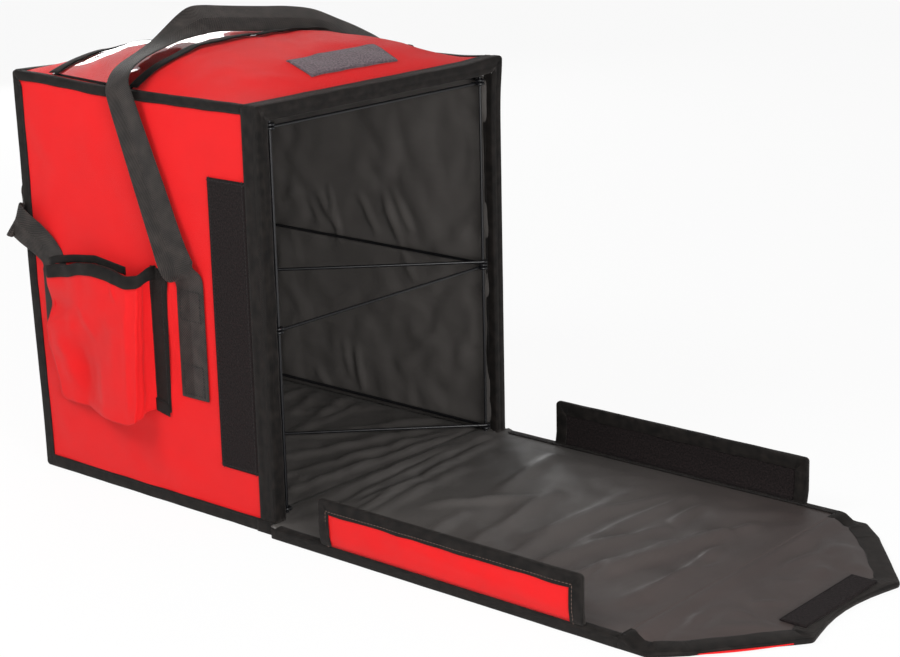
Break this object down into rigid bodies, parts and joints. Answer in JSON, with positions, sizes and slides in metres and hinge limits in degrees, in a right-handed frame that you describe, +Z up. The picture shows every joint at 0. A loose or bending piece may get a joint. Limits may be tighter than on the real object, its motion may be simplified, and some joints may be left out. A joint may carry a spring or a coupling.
{
  "type": "pizza delivery bag",
  "caption": "Insulated box bag with a fold-down front flap, webbing handles, a side pocket and a wire rack inside.",
  "frame": {"origin": "middle of the bag's base, on the floor", "axes": "+Z up, the mouth faces -Y with the open flap on the floor in front of it, and the pocket is on the -X side"},
  "size_m": [0.4068, 0.9284, 0.4848],
  "materials": {
    "red_fabric": "coated polyester weave",
    "black_tape": "ribbed binding tape",
    "black_webbing": "twill webbing",
    "grey_lining": "thin lining with a soft sheen",
    "foam": "closed-cell foam",
    "hook_loop": "hook-and-loop tape",
    "clear_vinyl": "clear soft vinyl",
    "black_wire": "black-coated steel wire"
  },
  "bodies": {
    "bag": {"left_outer": "red_fabric", "left_foam": "foam", "left_lining": "grey_lining", "right_outer": "red_fabric", "right_foam": "foam", "right_lining": "grey_lining", "back_outer": "red_fabric", "back_foam": "foam", "back_lining": "grey_lining", "base_outer": "red_fabric", "base_foam": "foam", "base_lining": "grey_lining", "top_outer": "red_fabric", "top_foam": "foam", "top_lining": "grey_lining", "left_face_binding": "black_tape", "right_face_binding": "black_tape", "mouth_binding": "black_tape", "window_tape": "black_tape", "window_pane": "clear_vinyl", "top_patch": "hook_loop", "left_side_strip": "hook_loop", "right_side_strip": "hook_loop", "front_handle_end_left": "black_webbing", "front_handle_end_right": "black_webbing", "rear_handle_end_left": "black_webbing", "rear_handle_end_right": "black_webbing", "pocket_gusset": "red_fabric", "pocket_sheet": "red_fabric", "pocket_top_binding": "black_tape", "pocket_edge_tape": "black_tape", "rack_post_front_left": "black_wire", "rack_post_front_right": "black_wire", "rack_post_back_left": "black_wire", "rack_post_back_right": "black_wire", "rack_front_wire_low": "black_wire", "rack_front_wire_middle": "black_wire", "rack_front_wire_top": "black_wire", "rack_bent_wire_low": "black_wire", "rack_bent_wire_middle": "black_wire", "rack_bent_wire_top": "black_wire"},
    "flap": {"flap_outer": "red_fabric", "flap_foam": "foam", "flap_lining": "grey_lining", "flap_binding_left": "black_tape", "flap_binding_right": "black_tape"},
    "tongue": {"tongue_outer": "red_fabric", "tongue_lining": "grey_lining", "tongue_binding": "black_tape", "tongue_fastener": "hook_loop"},
    "left_wing": {"left_wing_outer": "red_fabric", "left_wing_fastener": "hook_loop", "left_wing_binding": "black_tape"},
    "right_wing": {"right_wing_outer": "red_fabric", "right_wing_fastener": "hook_loop", "right_wing_binding": "black_tape"},
    "front_handle": {"front_handle": "black_webbing"},
    "rear_handle": {"rear_handle": "black_webbing"},
    "low_brace": {"rack_brace_low": "black_wire"},
    "middle_brace": {"rack_brace_middle": "black_wire"}
  },
  "joints": [
    {"name": "flap", "type": "hinge", "parent": "bag", "child": "flap", "pos_m": [0, -0.1748, 0.0122], "axis": [-1, 0, 0], "range_deg": [0, 90]},
    {"name": "tongue", "type": "hinge", "parent": "flap", "child": "tongue", "pos_m": [0, -0.5928, 0.007], "axis": [-1, 0, 0], "range_deg": [0, 76]},
    {"name": "left_wing", "type": "hinge", "parent": "flap", "child": "left_wing", "pos_m": [-0.1854, -0.3963, 0.0125], "axis": [0, -1, 0], "range_deg": [0, 90]},
    {"name": "right_wing", "type": "hinge", "parent": "flap", "child": "right_wing", "pos_m": [0.1854, -0.3963, 0.0125], "axis": [0, 1, 0], "range_deg": [0, 90]},
    {"name": "front_handle", "type": "hinge", "parent": "bag", "child": "front_handle", "pos_m": [0, -0.071, 0.2413], "axis": [-1, 0, 0], "range_deg": [-16, 0]},
    {"name": "rear_handle", "type": "hinge", "parent": "bag", "child": "rear_handle", "pos_m": [0, 0.1975, 0.287], "axis": [1, 0, 0], "range_deg": [0, 170]},
    {"name": "low_brace", "type": "hinge", "parent": "bag", "child": "low_brace", "pos_m": [-0.157, 0.153, 0.024], "axis": [0, 0, 1], "range_deg": [-38, 0]},
    {"name": "middle_brace", "type": "hinge", "parent": "bag", "child": "middle_brace", "pos_m": [-0.157, 0.153, 0.2072], "axis": [0, 0, 1], "range_deg": [-38, 0]}
  ]
}
